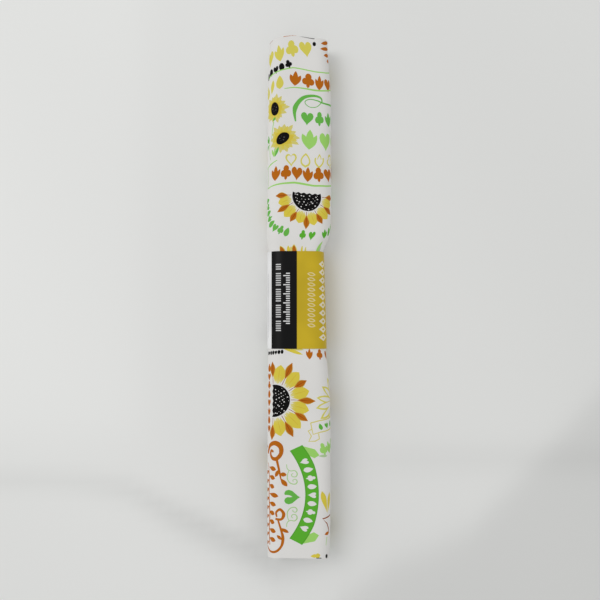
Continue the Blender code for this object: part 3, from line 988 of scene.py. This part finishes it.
def add(tree, kind, inputs=None, **settings):
    """Add a node with its settings, and fill its sockets from values, or from other nodes or their sockets."""
    made = tree.nodes.new(kind)
    for key, value in settings.items():
        setattr(made, key, value)
    for socket, value in (inputs or {}).items():
        if isinstance(value, bpy.types.Node):
            value = value.outputs[0]
        if isinstance(value, bpy.types.NodeSocket):
            tree.links.new(value, made.inputs[socket])
        else:
            made.inputs[socket].default_value = value
    return made


def new_material(name):
    """An empty material and its node tree."""
    made = bpy.data.materials.new(name)
    made.use_nodes = True
    made.node_tree.nodes.clear()
    return made, made.node_tree


def surface(tree, inputs):
    """The shader, with its inputs, joined to an output."""
    shader = add(tree, "ShaderNodeBsdfPrincipled", inputs)
    add(tree, "ShaderNodeOutputMaterial", {"Surface": shader})


# Sixty threads to the inch each way, from one thread to the next, in metres.
THREAD_PITCH = 0.00042


def printed_cotton():
    """Plain-weave quilting cotton, printed with flat inks: matt, with a faint fuzz and a fine even weave."""
    made, tree = new_material("printed_quilting_cotton")
    ink = add(tree, "ShaderNodeAttribute", attribute_name="ink")
    flat = add(tree, "ShaderNodeUVMap", uv_map="flat")
    place = add(tree, "ShaderNodeTexCoord").outputs["Object"]
    split = add(tree, "ShaderNodeSeparateXYZ", {0: flat})
    waves = []
    for axis in ("X", "Y"):
        turn = {0: split.outputs[axis], 1: math.pi / THREAD_PITCH}
        scaled = add(tree, "ShaderNodeMath", turn, operation="MULTIPLY")
        waves.append(add(tree, "ShaderNodeMath", {0: scaled}, operation="SINE"))
    weave = add(tree, "ShaderNodeMath", {0: waves[0], 1: waves[1]}, operation="MULTIPLY")
    slub = add(tree, "ShaderNodeTexNoise", {"Vector": place, "Scale": 420, "Detail": 3})
    cloud = add(tree, "ShaderNodeTexNoise", {"Vector": place, "Scale": 45, "Detail": 2})
    uneven = {"Value": cloud, "From Min": 0.3, "From Max": 0.7, "To Min": 0.965, "To Max": 1}
    tone = add(tree, "ShaderNodeMapRange", uneven)
    # The weave's low points, where its bump sinks too, are made darker: painted shade in the hollows between
    # threads.
    grain = add(
        tree, "ShaderNodeMapRange", {"Value": weave, "From Min": -1, "From Max": 1, "To Min": 0.95, "To Max": 1}
    )
    shade = add(tree, "ShaderNodeMath", {0: tone, 1: grain}, operation="MULTIPLY")
    colour = add(tree, "ShaderNodeVectorMath", {0: ink, "Scale": shade}, operation="SCALE")
    height = add(tree, "ShaderNodeMath", {0: weave, 1: slub}, operation="ADD")
    bump = add(tree, "ShaderNodeBump", {"Height": height, "Distance": 0.00004, "Strength": 0.5})
    rough = add(tree, "ShaderNodeMapRange", {"Value": slub, "To Min": 0.82, "To Max": 0.98})
    fuzz = {"Sheen Weight": 0.03, "Sheen Roughness": 0.6, "Specular IOR Level": 0.12}
    surface(tree, {"Base Color": colour, "Normal": bump, "Roughness": rough, **fuzz})
    return made


def coated_paper():
    """Coated label paper, printed and varnished: smooth, with a broad soft gloss and a trace of paper grain."""
    made, tree = new_material("coated_label_paper")
    ink = add(tree, "ShaderNodeAttribute", attribute_name="ink")
    place = add(tree, "ShaderNodeTexCoord").outputs["Object"]
    # Paper fibres clump at about 0.5 mm, and a wrapped strip waves at about 10 mm.
    fibre = add(tree, "ShaderNodeTexNoise", {"Vector": place, "Scale": 2000, "Detail": 2})
    wave = add(tree, "ShaderNodeTexNoise", {"Vector": place, "Scale": 90, "Detail": 1})
    # The print is lighter where the strip's waves rise and darker where they sink, as the bump also shades
    # them: partly uneven ink, partly painted sheen and shade of the waves.
    uneven = {"Value": wave, "From Min": 0.3, "From Max": 0.7, "To Min": 0.92, "To Max": 1.05}
    tone = add(tree, "ShaderNodeMapRange", uneven)
    colour = add(tree, "ShaderNodeVectorMath", {0: ink, "Scale": tone}, operation="SCALE")
    rough = add(tree, "ShaderNodeMapRange", {"Value": wave, "To Min": 0.34, "To Max": 0.46})
    grain = add(tree, "ShaderNodeBump", {"Height": fibre, "Distance": 0.00001, "Strength": 0.3})
    bump = add(tree, "ShaderNodeBump", {"Height": wave, "Distance": 0.0002, "Strength": 0.3, "Normal": grain})
    surface(tree, {"Base Color": colour, "Roughness": rough, "Normal": bump, "Specular IOR Level": 0.15})
    return made


def hot_melt_glue():
    """Dried hot-melt glue: cream, waxy and slightly lumpy."""
    made, tree = new_material("hot_melt_glue")
    place = add(tree, "ShaderNodeTexCoord").outputs["Object"]
    lump = add(tree, "ShaderNodeTexNoise", {"Vector": place, "Scale": 350, "Detail": 2})
    creams = {"Factor": lump, 6: hex_linear("#E4DCC0"), 7: hex_linear("#CFC09A")}
    colour = add(tree, "ShaderNodeMix", creams, data_type="RGBA").outputs[2]
    bump = add(tree, "ShaderNodeBump", {"Height": lump, "Distance": 0.0001, "Strength": 0.5})
    surface(tree, {"Base Color": colour, "Normal": bump, "Roughness": 0.35})
    return made


def backdrop_cloth():
    """Plain pale backdrop cloth, smooth and matt. Its colour is scaled by painted light and shade: the shade of
    soft folds that the flat floor does not have, shadow beside the roll, a brighter and a darker corner.
    """
    made, tree = new_material("pale_backdrop_cloth")
    # The painted light and shade of the floor, one number at each of its points.
    shade = add(tree, "ShaderNodeAttribute", attribute_name="shade").outputs["Fac"]
    pale = {0: hex_linear("#EDEDEB")[:3], "Scale": shade}
    colour = add(tree, "ShaderNodeVectorMath", pale, operation="SCALE")
    surface(tree, {"Base Color": colour, "Roughness": 0.95, "Specular IOR Level": 0.2})
    return made


def backdrop_shade(x, y):
    """The painted light and shade of the backdrop at a place in millimetres: a painted brighter far corner,
    painted shade of soft folds and a crease, painted shadow beside the roll, and a painted darker near corner.
    """

    def rise(value):
        return 1 / (1 + np.exp(-value))

    # Painted shade of a soft fold in the cloth, which the flat floor does not have: a dark band along the line
    # through fold_x and fold_y, deeper towards the roll.
    fold_x = (-220, -116, -97, -78.5, -60, -41, -25, -10)
    fold_y = (-84, -84.6, -86, -89, -99, -107.5, -115.5, -123)
    away = y - np.interp(x, fold_x, fold_y)
    breadth = np.where(away < 0, 5.5 + 3.5 * rise((x + 68) / 6), 6.0)
    depth = 0.055 + 0.11 * rise((x + 62) / 14)
    fold = depth * np.exp(-((away / breadth) ** 2)) * rise((-4 - x) / 5)
    # Painted light: the far left corner is brighter.
    painted_far_light = rise((-72 - x) / 5) * rise((y + 64) / 6)
    # Painted shade: the near right corner is darker, past the line through corner_y.
    corner_y = np.interp(
        x, (0, 20, 42, 61, 79.5, 98, 133, 200), (-175, -140, -123.5, -116.6, -107.3, -88.7, -51.5, 15)
    )
    corner = rise((corner_y - y) / 4.5)
    # Painted shadow on the floor beside the roll, between the band and its cut end: strong along its left side,
    # faint a little way off its right side.
    beside = rise((-52 - y) / 7) * rise((y + 117) / 4)
    left_painted_shadow = 0.13 * np.exp(-(((x + 15) / 9) ** 2)) * beside
    right_painted_shadow = 0.05 * np.exp(-(((x - 22) / 10) ** 2)) * beside
    # Painted shade of a crease, to the right of the roll.
    crease = 0.05 * np.exp(-(((y + 74) / 8) ** 2)) * rise((x - 34) / 6)
    # All of the painted shade together.
    painted_shade_sum = fold + left_painted_shadow + right_painted_shadow + crease + 0.135 * corner
    return 1 + 0.045 * painted_far_light - painted_shade_sum + 0.012 * np.sin(x / 31 + y / 47)


# ----------------------------------------------------------------------------------------------------
# The pieces


def make_cloth():
    """The cotton, from its free edge on the underside to its end at the core."""
    cloth = printed_shell(
        "wound_cotton", cloth_grid(), cloth_print(), place_cloth, COTTON, SHINE_THROUGH, cloth_atlas
    )
    cloth.data.materials.append(printed_cotton())
    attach(cloth, "roll")
    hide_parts("cotton_cloth")
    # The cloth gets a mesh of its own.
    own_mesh(cloth)


def make_band():
    """The paper band, from its end under the flap, once round and on to the end of the flap."""
    band = printed_shell("label_band", band_grid(), band_print(), place_band, PAPER_WHITE, 0.0, band_atlas)
    band.data.materials.append(coated_paper())
    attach(band, "band")
    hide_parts("paper_band")


def finish_glue():
    """The glue keeps its solid."""
    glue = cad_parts["band_glue"]
    glue.data.materials.clear()
    glue.data.materials.append(hot_melt_glue())


def area_light(name, place, aim, size, power, colour="#FFFFFF"):
    """A square soft light."""
    data = bpy.data.lights.new(name, "AREA")
    data.size = size
    data.energy = power
    data.color = hex_linear(colour)[:3]
    light = bpy.data.objects.new(name, data)
    light.location = place
    light.rotation_euler = (Vector(aim) - Vector(place)).to_track_quat("-Z", "Y").to_euler()
    bpy.context.collection.objects.link(light)


def set_stage():
    """The backdrop, the lights and the camera."""
    bpy.ops.object.select_all(action="DESELECT")
    bpy.ops.mesh.primitive_grid_add(x_subdivisions=320, y_subdivisions=320, size=1.6, location=(0, 0, -0.0002))
    floor = bpy.context.object
    floor.name = "backdrop"
    places = np.zeros(len(floor.data.vertices) * 3)
    floor.data.vertices.foreach_get("co", places)
    # The backdrop's painted light and shade, kept on each point of the flat floor.
    shade = floor.data.attributes.new("shade", "FLOAT", "POINT")
    shade.data.foreach_set("value", backdrop_shade(places[0::3] / MM, places[1::3] / MM))
    floor.data.materials.append(backdrop_cloth())
    floor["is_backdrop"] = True

    world = bpy.data.worlds.new("studio")
    world.use_nodes = True
    background = world.node_tree.nodes["Background"]
    background.inputs["Color"].default_value = hex_linear("#F7F8F8")
    background.inputs["Strength"].default_value = 0.69
    bpy.context.scene.world = world
    area_light("window", (-0.60, 0.30, 0.90), (0, 0, 0), 0.6, 2.9)

    camera = bpy.data.objects.new("camera", bpy.data.cameras.new("camera"))
    camera.data.lens = 38.76
    camera.data.sensor_width = 36.0
    camera.data.shift_y = 0.053
    camera.location = (0.00045, -0.0153, 0.300)
    bpy.context.collection.objects.link(camera)
    bpy.context.scene.camera = camera
    bpy.context.scene.view_settings.view_transform = "Standard"


make_cloth()
make_band()
finish_glue()
set_stage()

boxes = {"cad": cad_box, "visual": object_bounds()}
{k: [[float(c) for c in corner] for corner in box] for k, box in boxes.items()}
